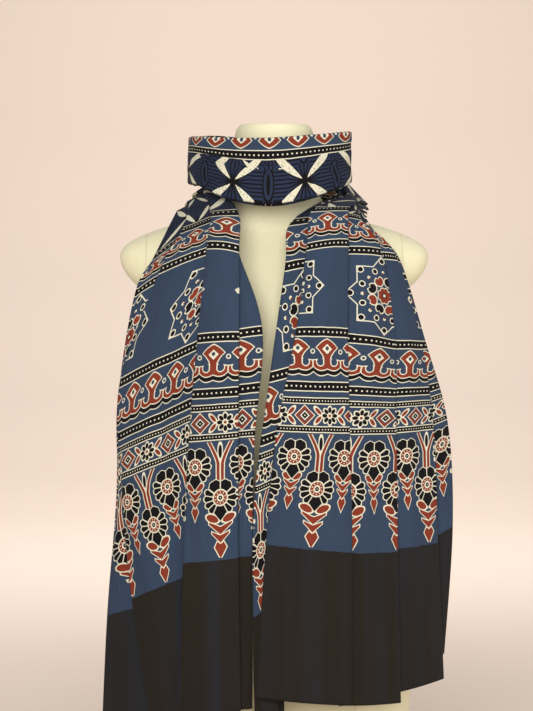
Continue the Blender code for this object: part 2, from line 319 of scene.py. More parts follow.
# %% Flat length of every row: the print rows' own on the ends, measured along the top layer between
TOP_COLUMN = int(np.flatnonzero((LAYER == 3) & ~ON_FOLD)[12])
first_loop, last_loop = len(LEVELS) - 1, len(STATIONS) - len(LEVELS)
steps = np.linalg.norm(np.diff(sheet_points[:, TOP_COLUMN], axis=0), axis=1)
travelled = np.concatenate([[0], np.cumsum(steps)])
on_left, on_right = row_at <= first_loop, row_at >= last_loop
loop_length = travelled[np.flatnonzero(on_right)[0]] - travelled[np.flatnonzero(on_left)[-1]]
COLLAR_FROM_HEM = LEVELS[-1, 0]
CLOTH_LENGTH = 2 * COLLAR_FROM_HEM + loop_length
sheet_along = COLLAR_FROM_HEM + travelled - travelled[np.flatnonzero(on_left)[-1]]
sheet_along[on_left] = through(LEVELS[:, 0], row_at[on_left])
sheet_along[on_right] = CLOTH_LENGTH - through(LEVELS[:, 0], len(STATIONS) - 1 - row_at[on_right])
print("rows:", len(row_at), "cloth length in mm:", round(CLOTH_LENGTH))

# %% [markdown]
# ## Swell and soft creases
# Between two folds a real pleat swells forward, and soft creases run down it where the cloth was
# gathered. Both push the sheet a few millimetres along its own normal. Each crease is one row: where it
# starts and ends on the flat cloth, its half width and its height.

# %% How far each layer swells, and the creases listed one by one, in mm
SWELL = np.array((0, 2.5, 0, 6, 0, 6, 0, 4, 0, 1.5, 0))
# Columns: from along, from across, to along, to across, half width, height.
LEFT_CREASES = (
    (30, 170, 560, 172, 9, 1.6),
    (20, 262, 430, 268, 14, 4.0),
    (10, 300, 420, 318, 12, -3.0),
    (200, 235, 600, 262, 10, 2.4),
    (330, 330, 600, 296, 13, -2.6),
    (10, 380, 400, 386, 12, 3.0),
)
RIGHT_CREASES = (
    (10, 196, 520, 214, 10, 1.8),
    (10, 300, 560, 284, 13, 3.0),
    (60, 326, 420, 318, 9, -2.2),
    (10, 392, 520, 380, 12, 2.4),
    (10, 412, 380, 412, 8, -1.6),
)
BAND_CREASES = (
    (-130, 100, -38, 84, 7, -3.4),
    (-38, 84, 60, 76, 7, -3.6),
    (60, 76, 140, 68, 7, -3.0),
    (-140, 62, -30, 70, 6, -2.6),
    (-30, 70, 20, 76, 6, -2.2),
    (10, 66, 130, 74, 6, -2.2),
    (-135, 116, -20, 104, 8, 2.4),
    (0, 56, 130, 48, 8, 2.2),
    (-60, 106, 120, 112, 6, -2.2),
    (-120, 52, 0, 47, 6, -2.0),
)


def crease_relief(along, across, creases):
    """Sum over the creases of height times a bell curve of the distance from the crease's line, faded at
    both its ends."""
    relief = np.zeros_like(along)
    for from_along, from_across, to_along, to_across, half_width, height in creases:
        run, drift = to_along - from_along, to_across - from_across
        share = (along - from_along) / run
        middle = from_across + np.clip(share, 0, 1) * drift
        fade = smooth(share / 0.15 + 0.3) * smooth((1 - share) / 0.15 + 0.3)
        relief += height * fade * np.exp(-((across - middle) / half_width) ** 2)
    return relief


BAND_MIDDLE = float(np.interp(len(LEVELS) + 9, row_at, sheet_along))
row_along = np.broadcast_to(sheet_along[:, None], sheet_across.shape)
end_share = 1 - smooth((np.minimum(row_along, CLOTH_LENGTH - row_along) - 560) / 120)
relief = SWELL[LAYER] * 4 * SHARE * (1 - SHARE) * ~ON_FOLD * end_share
relief += crease_relief(row_along, sheet_across, LEFT_CREASES)
relief += crease_relief(CLOTH_LENGTH - row_along, sheet_across, RIGHT_CREASES)
relief += crease_relief(row_along - BAND_MIDDLE, sheet_across, BAND_CREASES)
print("relief from", round(relief.min(), 1), "to", round(relief.max(), 1), "mm")

# %% A slow unevenness that no listed fold repeats


def unevenness(along, across):
    """Three crossed sine waves of different lengths, under a millimetre high."""
    return (0.5 * np.sin(along / 37 + across / 61) + 0.4 * np.sin(along / 19 - across / 29 + 1.3)
            + 0.3 * np.sin(along / 71 + across / 13 + 0.4))


facing = np.cross(np.gradient(sheet_points, axis=0), np.gradient(sheet_points, axis=1))
facing /= np.maximum(np.linalg.norm(facing, axis=2, keepdims=True), 1e-9)
outward_sign = np.where((LAYER % 2 == 1) & ~ON_FOLD, 1.0, 0.0)
relief = (relief + unevenness(row_along, sheet_across)) * outward_sign
sheet_points = sheet_points + facing * relief[..., None]

# %% [markdown]
# ## From grid to mesh
# One helper turns any grid of points into a mesh object. The cloth's flat coordinates, in metres, go
# into a UV map, so that the print can be drawn on the cloth as it lay on the printing table.

# %% Grid helper


def grid_faces(rows, columns, around=False):
    """Quads between neighbouring rows and columns. With around, the last column joins the first."""
    index = np.arange(rows * columns).reshape(rows, columns)
    here, right_of = (index, np.roll(index, -1, 1)) if around else (index[:, :-1], index[:, 1:])
    return np.stack([here[:-1], here[1:], right_of[1:], right_of[:-1]], -1).reshape(-1, 4)


def mesh_from(name, points, faces, extra_faces=()):
    mesh = bpy.data.meshes.new(name)
    mesh.from_pydata((points * MM).tolist(), [], faces.tolist() + [list(face) for face in extra_faces])
    mesh.validate()
    mesh.shade_smooth()
    piece = bpy.data.objects.new(name, mesh)
    bpy.context.scene.collection.objects.link(piece)
    return piece


rows, columns = sheet_across.shape
stole = mesh_from("printed_stole", sheet_points.reshape(-1, 3), grid_faces(rows, columns))
flat_map = stole.data.uv_layers.new(name="flat")
corner = np.empty(len(stole.data.loops), np.int32)
stole.data.loops.foreach_get("vertex_index", corner)
flat_points = np.stack([sheet_across.ravel(), row_along.ravel()], 1) * MM
flat_map.data.foreach_set("uv", flat_points[corner].astype(np.float32).ravel())
thicken = stole.modifiers.new("cloth thickness", "SOLIDIFY")
thicken.thickness = CLOTH_THICKNESS * MM
thicken.offset = 0.0
print("stole:", len(stole.data.vertices), "points,", len(stole.data.polygons), "quads")

# %% [markdown]
# ## The dress form
# A shop form is a foam torso covered in stretched cream jersey, with a capped neck. Its body is a stack
# of superellipses, one for each level, with a front and a back of their own depth.

# %% Levels of the form, in mm
# Columns: z, half width, front, back, centre y, squareness.
FORM_LEVELS = np.array((
    (0, 172, 104, 112, 14, 2.3),
    (60, 182, 106, 118, 14, 2.3),
    (150, 186, 104, 120, 14, 2.3),
    (250, 168, 98, 104, 12, 2.3),
    (340, 140, 92, 88, 8, 2.2),
    (400, 128, 90, 82, 6, 2.2),
    (460, 132, 96, 84, 6, 2.2),
    (520, 146, 106, 92, 8, 2.2),
    (570, 156, 112, 98, 10, 2.2),
    (610, 160, 108, 102, 12, 2.2),
    (640, 170, 100, 104, 14, 2.2),
    (658, 190, 94, 102, 16, 2.2),
    (676, 204, 89, 98, 18, 2.15),
    (694, 209, 84, 92, 20, 2.1),
    (708, 203, 79, 84, 22, 2.05),
    (721, 182, 74, 76, 23, 2.0),
    (733, 150, 70, 70, 23, 2.0),
    (744, 112, 66, 66, 22, 2.0),
    (756, 82, 62, 63, 20, 2.0),
    (772, 64, 59, 60, 17, 2.0),
    (800, 56, 57, 59, 12, 2.0),
    (840, 54, 57, 58, 6, 2.0),
    (862, 52, 55, 57, 3, 2.0),
    (871, 46, 50, 52, 2, 2.0),
), float)
FORM_SIDES = 144
RINGS_IN_GAP = 4

# %% The form's surface


def form_surface():
    """Ring by ring: x is half width times sin to the power two over squareness, and y the same with cos
    and the front or back depth, with the levels joined by a smooth curve."""
    at = np.linspace(0, len(FORM_LEVELS) - 1, (len(FORM_LEVELS) - 1) * RINGS_IN_GAP + 1)
    z, half_width, front, back, centre_y, squareness = through(FORM_LEVELS, at).T[:, :, None]
    turn = np.linspace(0, 2 * math.pi, FORM_SIDES, endpoint=False)[None, :]
    across = np.sign(np.sin(turn)) * np.abs(np.sin(turn)) ** (2 / squareness)
    ahead = np.sign(np.cos(turn)) * np.abs(np.cos(turn)) ** (2 / squareness)
    y = centre_y - np.where(ahead > 0, front, back) * ahead
    return np.stack([half_width * across, y, np.broadcast_to(z, y.shape)], -1)


rings = form_surface()
ring_count = len(rings)
bottom = range(FORM_SIDES - 1, -1, -1)
top = range((ring_count - 1) * FORM_SIDES, ring_count * FORM_SIDES)
body = mesh_from("jersey_torso", rings.reshape(-1, 3),
                 grid_faces(ring_count, FORM_SIDES, around=True)[:, ::-1], (bottom, top))
print("form:", len(body.data.polygons), "faces")

# %% [markdown]
# ## Writing a print as maths
# A block print repeats, so it is drawn as distances: each motif is a number that is negative inside its
# shape, in mm. The small class below lets such formulas be written like ordinary arithmetic, and adds
# one maths node for each step.

# %% A number in a node tree


class Num:
    """One output of a maths node. Arithmetic on it adds nodes and gives new numbers."""

    def __init__(self, tree, socket):
        self.tree, self.socket = tree, socket

    def node(self, operation, *values, clamp=False):
        made = self.tree.nodes.new("ShaderNodeMath")
        made.operation, made.use_clamp = operation, clamp
        for slot, value in zip(made.inputs, values):
            if isinstance(value, Num):
                self.tree.links.new(value.socket, slot)
            else:
                slot.default_value = value
        return Num(self.tree, made.outputs[0])

    def __add__(self, other):
        return self.node("ADD", self, other)

    def __sub__(self, other):
        return self.node("SUBTRACT", self, other)

    def __rsub__(self, other):
        return self.node("SUBTRACT", other, self)

    def __mul__(self, other):
        return self.node("MULTIPLY", self, other)

    def __truediv__(self, other):
        return self.node("DIVIDE", self, other)

    def __abs__(self):
        return self.node("ABSOLUTE", self)

    def least(self, other):
        return self.node("MINIMUM", self, other)

    def most(self, other):
        return self.node("MAXIMUM", self, other)

    def above(self, edge):
        return self.node("GREATER_THAN", self, edge)

    def sine(self):
        return self.node("SINE", self)

    def cosine(self):
        return self.node("COSINE", self)

    def floor(self):
        return self.node("FLOOR", self)

    def power(self, exponent):
        return self.node("POWER", self, exponent)

    def turn_with(self, other):
        """The angle whose tangent is this over other, in radians."""
        return self.node("ARCTAN2", self, other)

    def wrapped(self, period):
        """The distance from the nearest multiple of period, from minus half of it to half of it."""
        return self.node("WRAP", self, period / 2, -period / 2)

    def with_other(self, other):
        """The length of the vector (this, other)."""
        return self.node("SQRT", self.node("MULTIPLY_ADD", other, other, self * self))

    def inside(self, edge=0.0, soft=0.16):
        """A mask: 1 where the distance is under edge, with a soft edge as wide as soft."""
        return self.node("MULTIPLY_ADD", self, -1 / soft, edge / soft + 0.5, clamp=True)

    def either(self, chosen, other):
        """chosen where this mask is 1, other where it is 0."""
        return self.node("MULTIPLY_ADD", self, chosen - other, other)


def oval(x, y, half_x, half_y):
    """About the distance from an ellipse: its squared radius less one, scaled by its smaller half."""
    return ((x / half_x).with_other(y / half_y) - 1.0) * min(half_x, half_y)


def kite(x, y, half_x, half_y):
    """Distance from a diamond: the sum of the sides' shares less one."""
    return (abs(x) / half_x + abs(y) / half_y - 1.0) * (half_x * half_y / math.hypot(half_x, half_y))


print("print helpers ready")

# %% [markdown]
# ## The dyes
# Ajrakh has few colours: indigo, a madder red, iron black, and the cream of the resisted cotton. Each
# `lay` below prints one colour through one mask, over all that lies under it, as the blocks do.

# %% Dyes and layers of print
INDIGO = (0.033, 0.052, 0.090)
DEEP_INDIGO = (0.020, 0.029, 0.060)
MADDER = (0.215, 0.036, 0.018)
IRON_BLACK = (0.007, 0.006, 0.007)
END_BLACK = (0.019, 0.0145, 0.0105)
BLUE_BLACK = (0.017, 0.022, 0.031)
CREAM = (0.70, 0.66, 0.50)
SPECK = (0.28, 0.25, 0.17)
LINE = 1.3


def lay(tree, under, mask, dye):
    """Mixes a dye (a colour or a colour socket) over what is under it, where the mask is 1."""
    mix = tree.nodes.new("ShaderNodeMix")
    mix.data_type, mix.blend_type = "RGBA", "MIX"
    tree.links.new(mask.socket, mix.inputs["Factor"])
    tree.links.new(under, mix.inputs["A"])
    if isinstance(dye, tuple):
        mix.inputs["B"].default_value = (*dye, 1.0)
    else:
        tree.links.new(dye, mix.inputs["B"])
    return mix.outputs["Result"]


def lay_outlined(tree, under, shape, dye, line=LINE, where=None):
    """A shape with a cream line round it: cream a little wider, then the dye."""
    outline, fill = shape.inside(line), shape.inside()
    if where is not None:
        outline, fill = outline * where, fill * where
    return lay(tree, lay(tree, under, outline, CREAM), fill, dye)


# %% The motifs, each in mm from its own centre
SIDE_PETALS_FROM, PETAL_STEP = 56.0, 24.0
RING_RADIUS, RING_BEADS = 6.7, 10


def dotted_line(x, y, half, period, dot):
    """A black line with cream edges and a row of cream dots: (cream mask, black mask)."""
    bead = x.wrapped(period).with_other(y) - dot
    black = abs(y).inside(half - LINE)
    return abs(y).inside(half), black * (1.0 - bead.inside())


def flower_shapes(x, y):
    """Eleven petals round a beaded ring: (petals, radius, beads). Two wide petals stand on top, a
    pointed one hangs below, and four narrow ones are on each side. Each is a wedge whose sides leave a
    thin spoke between neighbours, cut off by an oval."""
    radius = x.with_other(y)
    turn = abs(x.turn_with(y)) * (180 / math.pi)
    number = ((turn - SIDE_PETALS_FROM) / PETAL_STEP).floor().most(0.0).least(3.0)
    small = (turn - SIDE_PETALS_FROM - PETAL_STEP / 2 - number * PETAL_STEP) * (math.pi / 180)
    outward, sideways = radius * small.cosine(), radius * small.sine()
    side = (abs(sideways) - outward * 0.212 + 0.6).most(oval(outward - 14.5, sideways, 7.6, 4.8))
    wide = (turn - 27.0) * (math.pi / 180)
    outward, sideways = radius * wide.cosine(), radius * wide.sine()
    scallop = abs((wide * 9.0).sine()) * 0.8
    crown = (abs(sideways) - outward * 0.50 + 0.6).most(oval(outward - 13.6, sideways, 8.8, 8.6) - scallop)
    shield = (abs(x) + y * 0.53 + 0.6).most(kite(x, y + 14.5, 11.5, 13.5))
    petals = side.least(crown).least(shield).most(10.4 - radius)
    beads = (x.turn_with(y) * RING_RADIUS).wrapped(RING_RADIUS * 2 * math.pi / RING_BEADS)
    beads = beads.with_other(radius - RING_RADIUS) - 0.8
    return petals, radius, beads


def pendant_shape(x, y):
    """Curled leaves, two chevrons and a pointed drop, hanging from y = 0 down to about -50."""
    side = abs(x)
    curl = oval(side - 11.0, y + 3.5 - side * 0.30, 8.0, 4.8)
    chevron = (abs(y + 15.5 - side * 0.62) - 4.6 + side * 0.22).most(side - 15.5)
    second = (abs(y + 26.0 - side * 0.70) - 4.6 + side * 0.30).most(side - 11.5)
    drop = kite(x, y + 36.0, 8.0, 14.5).most(y + 32.4 - side * 0.70)
    return curl.least(chevron).least(second).least(drop)


def stem_shapes(x, y):
    """A fork of two bars that part upwards, and the almond leaf between them, from y = 0 up to 46."""
    part = (y - 18.0).most(0.0) / 28.0
    bar = abs(abs(x) - 2.9 - part.power(1.3) * 13.0) - 2.0
    return bar, oval(x, y - 33.0, 2.5, 8.2)


def trefoil_shape(x, y):
    """An onion head on a stem between two scrolls, 40 mm tall, with its tip at y = 0."""
    side = abs(x)
    roof = (y + side * 0.30 + side * side * 0.026) * 0.85
    rise = ((y + 24.0) / 13.5).most(0.0).least(1.2)
    flank = (side - 4.4 - rise.power(1.6) * 10.1) * 0.8
    head = roof.most(flank).most(-37.5 - y)
    scroll = (abs((side - 9.9).with_other(y + 28.3) - 8.6) - 2.6).most(y + 24.5 + side * 0.12)
    return head.least(scroll).most(side - 19.2)


def wave_offset(x):
    """Height of the scalloped line: it sags under each scroll and rises most between two trefoils."""
    past = abs(x.wrapped(TREFOIL_PERIOD)) - 9.5
    beyond = past.most(0.0)
    return past * past * 0.024 + beyond * beyond * 0.022


print("motifs ready")

# %% [markdown]
# ## Where each row of blocks goes
# The end of the cloth is a ladder of rows, counted here from the hem. The other end mirrors it. Past the
# last row, the middle of the cloth is one big lattice with a border along each selvedge.

# %% Rows from the hem, in mm
END_BAND = 200.0
FLOWERS_BIG, FLOWERS_UPPER = 277.0, 316.0
FLOWER_PERIOD = 70.0
FLOWER_ROW_MIDDLE, FLOWER_ROW_HALF = 274.0, 71.0
STEM_FOOT = 300.0
PENDANT_BELOW = 24.5
SMALL_PENDANT_ACROSS, SMALL_PENDANT_UP = 1.6, 1.22
TREFOIL_PERIOD, DOTTED_HALF = 40.0, 6.6
ROW_B, DIAMOND_ROW, ROW_A = 351.0, 368.5, 387.0
BORDER_LOW, BORDER_HIGH = 405.0, 592.0
BORDER_HEIGHT, BORDER_TIP, BORDER_WAVE = 69.0, 59.5, 17.0
STAR_ROW, STAR_PERIOD, STAR_HALF = 534.0, 140.0, 35.4
TREFOIL_AT = 20.0
DIAMOND_AT_LEFT, DIAMOND_AT_RIGHT = 28.0, 47.0
STAR_AT_LEFT, STAR_AT_RIGHT = 10.0, 24.0
FIELD_START = BORDER_HIGH + BORDER_HEIGHT + DOTTED_HALF
SIDE_BORDER = 62.0
LATTICE = 96.0
LATTICE_ACROSS, LATTICE_ALONG = 102.0, BAND_MIDDLE - 40.0

# %% The print's node tree
printed = bpy.data.materials.new("block-printed cotton")
printed.use_nodes = True
tree = printed.node_tree
cloth_shader = tree.nodes["Principled BSDF"]
flat_node = tree.nodes.new("ShaderNodeUVMap")
flat_node.uv_map = "flat"
split = tree.nodes.new("ShaderNodeSeparateXYZ")
tree.links.new(flat_node.outputs["UV"], split.inputs[0])


def noise(scale, detail, vector=None):
    """A soft noise from 0 to 1 over the flat cloth, as a Num."""
    made = tree.nodes.new("ShaderNodeTexNoise")
    made.inputs["Scale"].default_value = scale
    made.inputs["Detail"].default_value = detail
    tree.links.new((vector or flat_node.outputs["UV"]), made.inputs["Vector"])
    return Num(tree, made.outputs["Fac"])


across = Num(tree, split.outputs["X"]) * 1000.0
along = Num(tree, split.outputs["Y"]) * 1000.0
wobble = (noise(60.0, 2.0) - 0.5) * 1.3
on_right_end = along.above(CLOTH_LENGTH / 2)
from_hem = along.least(CLOTH_LENGTH - along) + wobble
t = across + (noise(55.0, 2.0) - 0.5) * 1.1
from_edge = t.least(CLOTH_WIDTH - t)

# %% Ground: indigo that took the dye unevenly
slub_lines = tree.nodes.new("ShaderNodeVectorMath")
slub_lines.operation = "MULTIPLY"
slub_lines.inputs[1].default_value = (1.0, 0.03, 1.0)
tree.links.new(flat_node.outputs["UV"], slub_lines.inputs[0])
streaks = noise(150.0, 4.0, slub_lines.outputs[0])
mottle = noise(14.0, 5.0) * 0.6 + streaks * 0.4
ground = tree.nodes.new("ShaderNodeMix")
ground.data_type = "RGBA"
ground.inputs["A"].default_value = (*[c * 0.80 for c in INDIGO], 1)
ground.inputs["B"].default_value = (*[c * 1.22 for c in INDIGO], 1)
tree.links.new(mottle.socket, ground.inputs["Factor"])
colour = ground.outputs["Result"]

# %% Flowers, their pendants and the forked stems
fx = t.wrapped(FLOWER_PERIOD)
upper_x = abs(fx) - FLOWER_PERIOD / 2
to_big, to_upper = fx.with_other(from_hem - FLOWERS_BIG), upper_x.with_other(from_hem - FLOWERS_UPPER)
big = (to_big - to_upper).inside(0.0, 0.01)
flower_x = big.either(fx, upper_x)
flower_y = from_hem - big.either(FLOWERS_BIG, FLOWERS_UPPER)
in_row = abs(from_hem - FLOWER_ROW_MIDDLE).inside(FLOWER_ROW_HALF)
bar, leaf = stem_shapes(fx, from_hem - STEM_FOOT)
stem_zone = in_row * (STEM_FOOT - 2.0 - from_hem).inside()
colour = lay_outlined(tree, colour, bar, MADDER, where=stem_zone)
colour = lay_outlined(tree, colour, leaf, IRON_BLACK, where=stem_zone)
low = (abs(fx) - 21.0).inside()
pendant_x = low.either(fx, upper_x * SMALL_PENDANT_ACROSS)
pendant_y = low.either(from_hem - FLOWERS_BIG + PENDANT_BELOW,
                       (from_hem - FLOWERS_UPPER + PENDANT_BELOW) * SMALL_PENDANT_UP)
colour = lay_outlined(tree, colour, pendant_shape(pendant_x, pendant_y), MADDER, where=in_row)
petals, radius, beads = flower_shapes(flower_x, flower_y)
colour = lay_outlined(tree, colour, petals, IRON_BLACK, line=0.9, where=in_row)
colour = lay(tree, colour, radius.inside(9.9) * in_row, CREAM)
red_ring = (abs(radius - RING_RADIUS) - 2.0).inside() * (1.0 - beads.inside())
colour = lay(tree, colour, red_ring * in_row, MADDER)
colour = lay(tree, colour, (abs(radius - 1.7) - 1.0).inside() * in_row, IRON_BLACK)
print("flower row laid, nodes so far:", len(tree.nodes))

# %% Diamonds and daisies between two dotted lines
diamond_at = on_right_end.either(DIAMOND_AT_RIGHT, DIAMOND_AT_LEFT)
dx, dy = (t - diamond_at).wrapped(FLOWER_PERIOD), from_hem - DIAMOND_ROW
in_diamonds = abs(dy).inside(13.4)
leaf_x, leaf_y = abs(dx) - 18.5, abs(dy) - 5.5
leaves = oval(leaf_x * 0.72 + leaf_y * 0.69, leaf_y * 0.72 - leaf_x * 0.69, 2.3, 5.6)
colour = lay_outlined(tree, colour, leaves, MADDER, where=in_diamonds)
gem = abs(dx) / 13.0 + abs(dy) / 12.0
for edge, dye in ((1.12, CREAM), (1.0, MADDER), (0.66, INDIGO), (0.52, CREAM), (0.37, IRON_BLACK)):
    colour = lay(tree, colour, gem.inside(edge, 0.012) * in_diamonds, dye)
colour = lay(tree, colour, dx.with_other(dy).inside(0.9), CREAM)
daisy_x = abs(dx) - FLOWER_PERIOD / 2
daisy_r, daisy_turn = daisy_x.with_other(dy), daisy_x.turn_with(dy).wrapped(math.pi / 4)
daisy = oval(daisy_r * daisy_turn.cosine() - 7.4, daisy_r * daisy_turn.sine(), 3.7, 2.5)
colour = lay_outlined(tree, colour, daisy, IRON_BLACK, where=in_diamonds)
colour = lay(tree, colour, daisy_r.inside(3.3), CREAM)
colour = lay(tree, colour, daisy_r.inside(1.9), MADDER)
print("diamond row laid, nodes so far:", len(tree.nodes))

# %% The trefoil border: on both rows of the ends, and along the selvedges of the middle
in_middle = from_hem.above(FIELD_START)
upper = from_hem.above((BORDER_LOW + BORDER_HIGH + BORDER_HEIGHT) / 2)
row_base = upper.either(BORDER_HIGH, BORDER_LOW)
border_x = in_middle.either(along, t - TREFOIL_AT)
border_y = in_middle.either(from_edge + (BORDER_HEIGHT - SIDE_BORDER), from_hem - row_base)
in_border = abs(border_y - BORDER_HEIGHT / 2).inside(BORDER_HEIGHT / 2 + DOTTED_HALF)
tx, ty = border_x.wrapped(TREFOIL_PERIOD), border_y - BORDER_TIP
between = border_y.above(7.0) * in_border
trefoil = trefoil_shape(tx, ty)
colour = lay_outlined(tree, colour, trefoil, MADDER, where=between)
eye = kite(tx, ty + 12.0, 7.2, 6.4)
colour = lay(tree, colour, eye.inside() * between, CREAM)
colour = lay(tree, colour, tx.with_other(ty + 11.2).inside(2.5) * between, INDIGO)
ring = (abs(tx) - TREFOIL_PERIOD / 2).with_other(ty + 15.2)
colour = lay(tree, colour, ring.inside(3.2) * between, CREAM)
colour = lay(tree, colour, ring.inside(1.8) * between, INDIGO)
wave = abs(border_y - BORDER_WAVE - wave_offset(border_x)) - 2.6
colour = lay_outlined(tree, colour, wave, IRON_BLACK, where=in_border)
line_y = border_y.above(BORDER_HEIGHT / 2).either(border_y - BORDER_HEIGHT, border_y)
cream, black = dotted_line(border_x, line_y, 6.5, 6.5, 1.15)
colour = lay(tree, lay(tree, colour, cream, CREAM), black, IRON_BLACK)
print("borders laid, nodes so far:", len(tree.nodes))

# %% The two narrow dotted lines
narrow_y = from_hem - (ROW_A + ROW_B) / 2
cream, black = dotted_line(t, abs(narrow_y) - (ROW_A - ROW_B) / 2, 4.4, 4.4, 0.85)
colour = lay(tree, lay(tree, colour, cream, CREAM), black, IRON_BLACK)

# %% Stars: a square over a turned square, with beads in the points and a flower in the middle
sx = (t - on_right_end.either(STAR_AT_RIGHT, STAR_AT_LEFT)).wrapped(STAR_PERIOD)
sy = from_hem - STAR_ROW
star_zone = abs(sy).inside(52.0)
star_edge = abs(sx).most(abs(sy)).least((abs(sx) + abs(sy)) / math.sqrt(2)) - STAR_HALF
colour = lay(tree, colour, (abs(star_edge) - 0.7).inside() * star_zone, CREAM)
star_r, star_turn = sx.with_other(sy), sx.turn_with(sy)
point = star_turn.wrapped(math.pi / 4)
notch = (star_turn + math.pi / 8).wrapped(math.pi / 4)


def round_at(turn, distance):
    """Distance from the nearest of eight spots set round the star's middle."""
    return (star_r * turn.cosine() - distance).with_other(star_r * turn.sine())


spots = (round_at(point, 43.8) - 3.2).least(round_at(notch, 32.0) - 2.7)
colour = lay_outlined(tree, colour, spots, IRON_BLACK, where=star_zone)
colour = lay(tree, colour, round_at(point, 29.5).inside(2.1), CREAM)
colour = lay(tree, colour, (round_at(point, 28.0) - 1.2).inside(), MADDER)
heart = oval(star_r * notch.cosine() - 18.6, star_r * notch.sine(), 5.2, 6.0)
heart = heart + (1.0 - abs(notch) * 9.0).most(0.0) * (star_r - 17.0).most(0.0) * 0.45
odd = (star_turn / (math.pi / 4)).floor()
red_heart = odd.node("PINGPONG", odd, 1.0).above(0.5)
colour = lay_outlined(tree, colour, heart, IRON_BLACK)
colour = lay(tree, colour, heart.inside() * red_heart, MADDER)
lobes = star_r - 8.0 - abs((star_turn * 4.0).sine()) * 1.8
colour = lay_outlined(tree, colour, lobes, MADDER)
colour = lay(tree, colour, star_r.inside(3.4), IRON_BLACK)
colour = lay(tree, colour, star_r.inside(2.0), CREAM)
print("stars laid, nodes so far:", len(tree.nodes))

# %% The lattice of the middle: cream bars on the diagonals, fans at the nodes, eyes in the cells
lx, ly = along - LATTICE_ALONG, t - LATTICE_ACROSS
rise, fall = (lx + ly) / LATTICE, (lx - ly) / LATTICE
near_rise, near_fall = rise.wrapped(1.0), fall.wrapped(1.0)
CELL = LATTICE / math.sqrt(2)


def bar_along(across_bar, along_bar):
    """A lens-shaped bar on a lattice line: half width times one less the square of the share along."""
    share = (0.5 - abs(along_bar)) / 0.43
    return abs(across_bar) * CELL - (1.0 - share * share) * 5.2


bars = bar_along(near_rise, near_fall).least(bar_along(near_fall, near_rise))
node_x, node_y = (near_rise + near_fall) * (LATTICE / 2), (near_rise - near_fall) * (LATTICE / 2)
node_r = node_x.with_other(node_y)
fan_turn = node_x.turn_with(node_y).wrapped(math.pi / 12)
fan = abs(fan_turn) * node_r - 1.0
cell_rise, cell_fall = (rise + 0.5).wrapped(1.0), (fall + 0.5).wrapped(1.0)
cell_x, cell_y = (cell_rise + cell_fall) * (LATTICE / 2), (cell_rise - cell_fall) * (LATTICE / 2)
ladder = (abs(cell_y.wrapped(5.6)) - 1.0).most(6.5 - abs(cell_x))
inner_eye, outer_eye = oval(cell_x, cell_y, 2.6, 15.0), abs(oval(cell_x, cell_y, 7.0, 24.0)) - 0.9
in_fan = node_r.inside(25.0, 0.5)
lines = in_fan.either(fan, ladder.least(outer_eye).least(inner_eye))
in_field = in_middle * from_edge.above(SIDE_BORDER + DOTTED_HALF)
field = lay(tree, colour, in_field, DEEP_INDIGO)
field = lay(tree, field, lines.inside() * in_field, IRON_BLACK)
fleck = noise(420.0, 3.0).above(0.60)
plain_cream = tree.nodes.new("ShaderNodeRGB")
plain_cream.outputs[0].default_value = (*CREAM, 1)
speckled = lay(tree, plain_cream.outputs[0], fleck, SPECK)
colour = lay(tree, field, bars.inside() * in_field, speckled)
print("lattice laid, nodes so far:", len(tree.nodes))

# %% The plain dark band at each end, with lengthwise streaks where the indigo shows through
ragged = from_hem + (noise(180.0, 2.0) - 0.5) * 2.4
in_band = ragged.inside(END_BAND, 0.4)
colour = lay(tree, colour, in_band, END_BLACK)
bluer = ((noise(26.0, 2.0, slub_lines.outputs[0]) - 0.46) * 3.0).most(0.0).least(0.7)
colour = lay(tree, colour, bluer * in_band, BLUE_BLACK)

# %% Weave, and what the light does on the cotton
THREAD_PITCH = 0.9
thread = noise(900.0, 2.0)
worn = (noise(9.0, 6.0) - 0.5) * 0.22 + (thread - 0.5) * 0.30 + 1.0
tone = tree.nodes.new("ShaderNodeMix")
tone.data_type, tone.blend_type = "RGBA", "MULTIPLY"
tone.inputs["Factor"].default_value = 1.0
tree.links.new(colour, tone.inputs["A"])
shade = tree.nodes.new("ShaderNodeCombineXYZ")
for slot in shade.inputs:
    tree.links.new(worn.socket, slot)
tree.links.new(shade.outputs[0], tone.inputs["B"])
tree.links.new(tone.outputs["Result"], cloth_shader.inputs["Base Color"])
weave_across = (across * (2 * math.pi / THREAD_PITCH)).sine()
weave_along = (along * (2 * math.pi / THREAD_PITCH)).sine()
weave = weave_across.most(weave_along) * 0.5 + thread
bump = tree.nodes.new("ShaderNodeBump")
bump.inputs["Strength"].default_value = 0.25
bump.inputs["Distance"].default_value = 0.0004
tree.links.new(weave.socket, bump.inputs["Height"])
tree.links.new(bump.outputs["Normal"], cloth_shader.inputs["Normal"])
cloth_shader.inputs["Roughness"].default_value = 0.86
cloth_shader.inputs["Specular IOR Level"].default_value = 0.10
cloth_shader.inputs["Sheen Weight"].default_value = 0.04
cloth_shader.inputs["Sheen Roughness"].default_value = 0.5
stole.data.materials.append(printed)
print("printed cotton:", len(tree.nodes), "nodes")

# %% [markdown]
# ## The form's jersey
# The cover is unbleached knit stretched over foam. It has a fine weave, a little slub, and thin seams
# where the panels meet: one down each side, in front and behind, and one at the top of each arm.

# %% Cream jersey
jersey = bpy.data.materials.new("cream jersey")
jersey.use_nodes = True
knit = jersey.node_tree
knit_shader = knit.nodes["Principled BSDF"]
where_node = knit.nodes.new("ShaderNodeTexCoord")
place = knit.nodes.new("ShaderNodeSeparateXYZ")
knit.links.new(where_node.outputs["Object"], place.inputs[0])
px, pz = (Num(knit, place.outputs[axis]) * 1000.0 for axis in "XZ")


